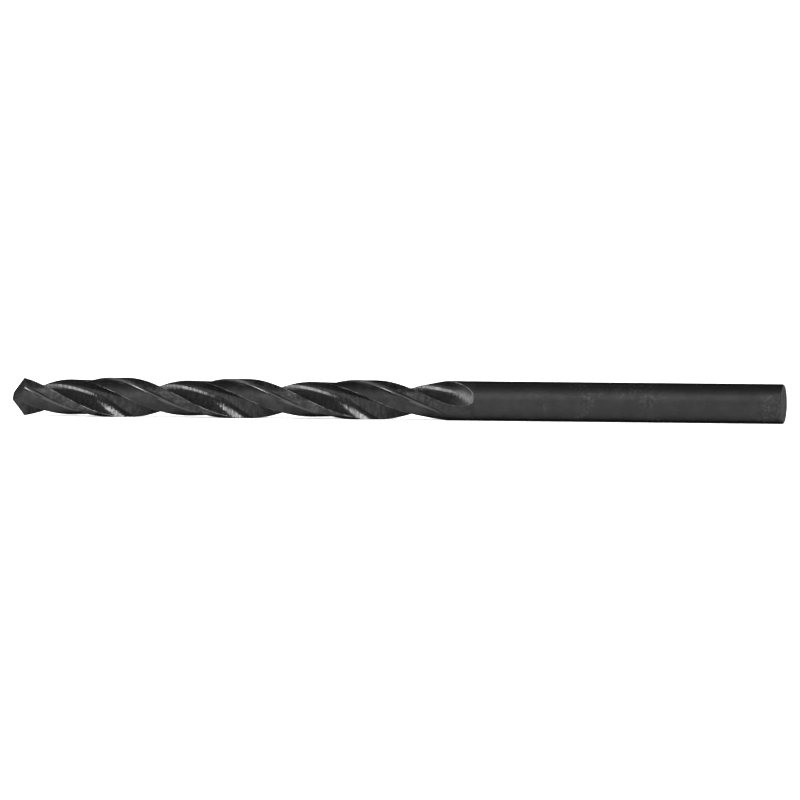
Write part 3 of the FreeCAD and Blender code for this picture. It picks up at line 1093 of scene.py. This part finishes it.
class BIT_OT_studio(bpy.types.Operator):
    """Sets up the floor, the backdrop, the lights and the camera"""

    bl_idname = "drill_bit.studio"
    bl_label = "Studio"

    def execute(self, context):
        look = context.scene.studio_look
        low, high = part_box(DRILL_NODE)
        centre = (low + high) / 2.0

        back = direction(look.camera_azimuth, look.camera_elevation)
        right = Vector((0.0, 0.0, 1.0)).cross(back).normalized()
        camera = bpy.data.cameras.new("camera")
        camera.lens = look.lens
        camera.clip_start, camera.clip_end = 0.01, 20.0
        sideways = right * look.aim_right
        place = centre + back * look.camera_distance + sideways
        context.scene.camera = aimed("camera", camera, place, centre + sideways)

        floor_mesh = bpy.data.meshes.new("floor")
        places = (FLOOR_FRONT, low.z), (FLOOR_BACK, low.z), (FLOOR_BACK, low.z + BACKDROP_HEIGHT)
        floor_mesh.from_pydata(
            [(side * FLOOR_SIDE, y, z) for y, z in places for side in (-1, 1)],
            [], [(0, 1, 3, 2), (2, 3, 5, 4)])
        floor = bpy.data.objects.new("floor", floor_mesh)
        context.scene.collection.objects.link(floor)
        floor.data.materials.append(paper(look))

        around = math.degrees(look.camera_azimuth)
        for name, azimuth, elevation, distance, width, height in LIGHTS:
            strength = getattr(look, name.replace(" ", "_") + "_strength")
            soft_light(name, strength, around + azimuth, elevation, distance, width, height, centre)

        world = bpy.data.worlds.new("room")
        context.scene.world = world
        world.use_nodes = True
        background = world.node_tree.nodes["Background"].inputs
        background["Color"].default_value = (1.0, 1.0, 1.0, 1.0)
        background["Strength"].default_value = look.room
        context.scene.view_settings.view_transform = "Standard"
        return {"FINISHED"}


def paper(look):
    """White paper of the floor and backdrop, which glows only to the camera and in reflections."""
    nodes = Nodes("white paper")
    path = nodes.add("ShaderNodeLightPath").outputs
    seen = nodes.plus(path["Is Camera Ray"], path["Is Glossy Ray"])
    seen = nodes.plus(seen, path["Is Transmission Ray"], clamp=True)
    place = nodes.add("ShaderNodeTexCoord").outputs["Object"]
    distance = nodes.add("ShaderNodeVectorMath", {0: place}, operation="LENGTH").outputs["Value"]
    beyond = nodes.times(nodes.minus(distance, GLOW_START), GLOW_RATE, clamp=True)
    strength = nodes.plus(look.floor_glow, nodes.times(beyond, 1.0 - look.floor_glow))
    colour = nodes.between(
        nodes.noise(place, PAPER_SCALE, PAPER_DETAIL),
        rgba(look.floor_colour, 1.0 - PAPER_SPREAD), rgba(look.floor_colour, 1.0 + PAPER_SPREAD))
    shader = nodes.add("ShaderNodeBsdfPrincipled", {
        "Base Color": colour, "Roughness": PAPER_ROUGHNESS, "Emission Color": (1.0, 1.0, 1.0, 1.0),
        "Emission Strength": nodes.times(seen, strength), "Specular IOR Level": 0.0})
    nodes.add("ShaderNodeOutputMaterial", {"Surface": shader.outputs["BSDF"]})
    return nodes.material


class BIT_PT_panel(bpy.types.Panel):
    """The drill bit's sizes, finish and studio"""

    bl_label = "Twist drill bit"
    bl_idname = "BIT_PT_panel"
    bl_space_type = "VIEW_3D"
    bl_region_type = "UI"
    bl_category = "Drill bit"

    def draw(self, context):
        scene = context.scene
        groups = scene.drill_sizes, scene.black_oxide, scene.studio_look
        for title, group in zip(("Sizes", "Black oxide", "Studio"), groups):
            box = self.layout.box()
            box.label(text=title)
            for key in group.bl_rna.properties.keys():
                if key not in {"rna_type", "name"}:
                    box.prop(group, key)
        self.layout.operator(BIT_OT_twist_drill.bl_idname)
        self.layout.operator(BIT_OT_studio.bl_idname)


CLASSES = (DrillSizes, BlackOxide, StudioLook, BIT_OT_twist_drill, BIT_OT_studio, BIT_PT_panel)


def register():
    """Registers the classes and the scene's settings."""
    for item in CLASSES:
        bpy.utils.register_class(item)
    bpy.types.Scene.drill_sizes = PointerProperty(type=DrillSizes)
    bpy.types.Scene.black_oxide = PointerProperty(type=BlackOxide)
    bpy.types.Scene.studio_look = PointerProperty(type=StudioLook)


def unregister():
    """Takes the settings and the classes away again."""
    del bpy.types.Scene.drill_sizes, bpy.types.Scene.black_oxide, bpy.types.Scene.studio_look
    for item in reversed(CLASSES):
        bpy.utils.unregister_class(item)


def main():
    """Builds the bit and its studio."""
    register()
    bpy.ops.drill_bit.twist_drill()
    bpy.ops.drill_bit.studio()


if __name__ == "__main__":
    main()
